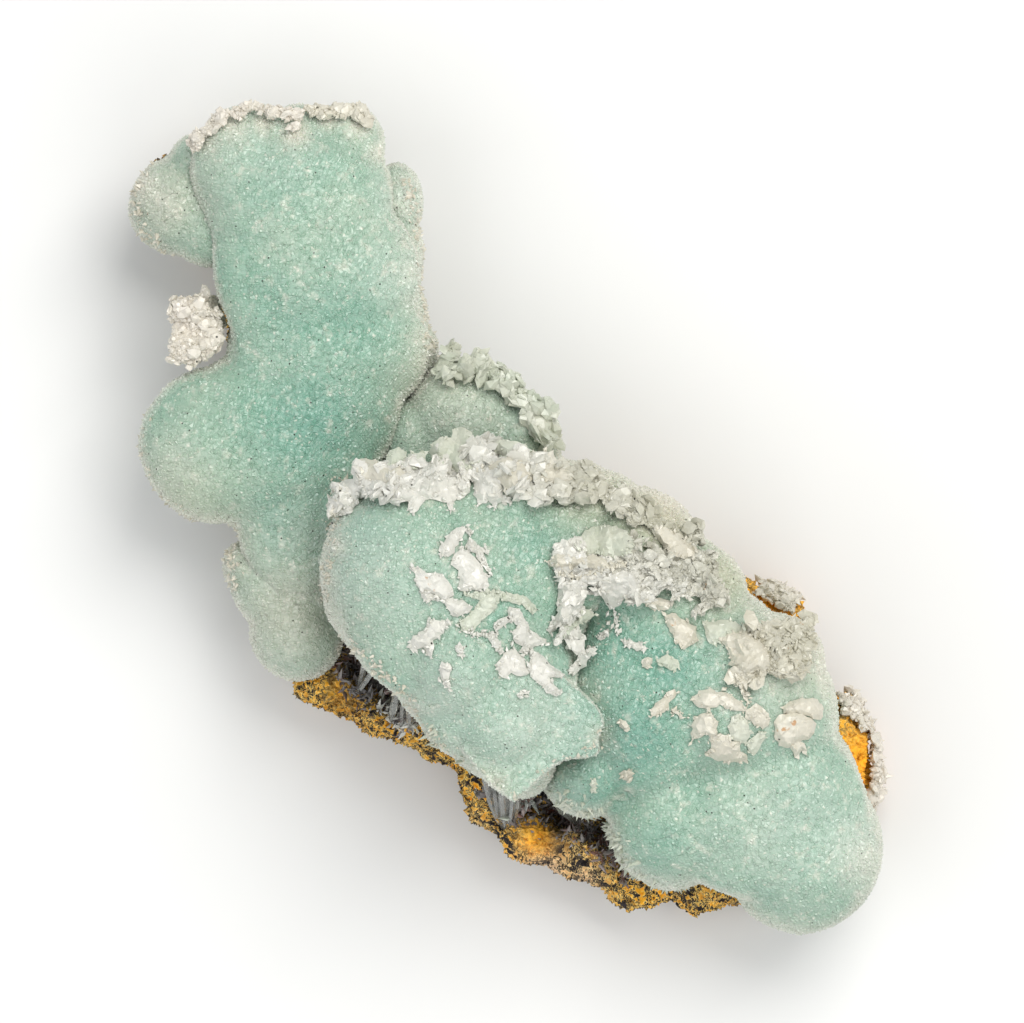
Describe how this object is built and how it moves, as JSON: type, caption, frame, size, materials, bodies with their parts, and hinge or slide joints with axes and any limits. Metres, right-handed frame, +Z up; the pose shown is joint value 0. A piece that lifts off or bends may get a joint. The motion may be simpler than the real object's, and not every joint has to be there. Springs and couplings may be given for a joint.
{
  "type": "calcite specimen",
  "caption": "Elongated hand-size mineral specimen: blue-green drusy botryoidal calcite on limonite, overgrown by white calcite blades, lying on its flat back.",
  "frame": {"origin": "the middle of the specimen's bounding box, at the height of the flat underside that it rests on", "axes": "+X along the specimen's length towards the broad end, +Z up out of the side that is shown"},
  "size_m": [0.0766, 0.0344, 0.0249],
  "materials": {
    "aqua_calcite": "drusy, sugary sparkle over a soft translucent blue-green",
    "white_calcite": "glassy to pearly crystal faces",
    "pale_calcite": "translucent pale green crystal faces",
    "limonite": "earthy, matt, speckled ochre and black"
  },
  "bodies": {
    "root": {"aqua_calcite_crust": "aqua_calcite", "limonite_matrix": "limonite", "edge_calcite_upper": "pale_calcite", "edge_calcite_lower": "pale_calcite", "white_crystal_ridge": "white_calcite", "white_crystal_blades": "white_calcite", "white_crystal_shoulder": "white_calcite", "white_crystal_rosette": "white_calcite", "white_crystal_disc": "white_calcite", "white_crystal_knob": "white_calcite", "pale_crystals_back": "pale_calcite", "tower_top_crystals": "pale_calcite", "tower_knob_crystals": "pale_calcite", "left_hollow_crystals": "white_calcite", "right_hollow_crystals": "white_calcite", "lone_blade_1": "white_calcite", "lone_blade_2": "white_calcite", "lone_blade_3": "white_calcite", "lone_blade_4": "white_calcite", "lone_blade_5": "white_calcite"}
  },
  "joints": []
}
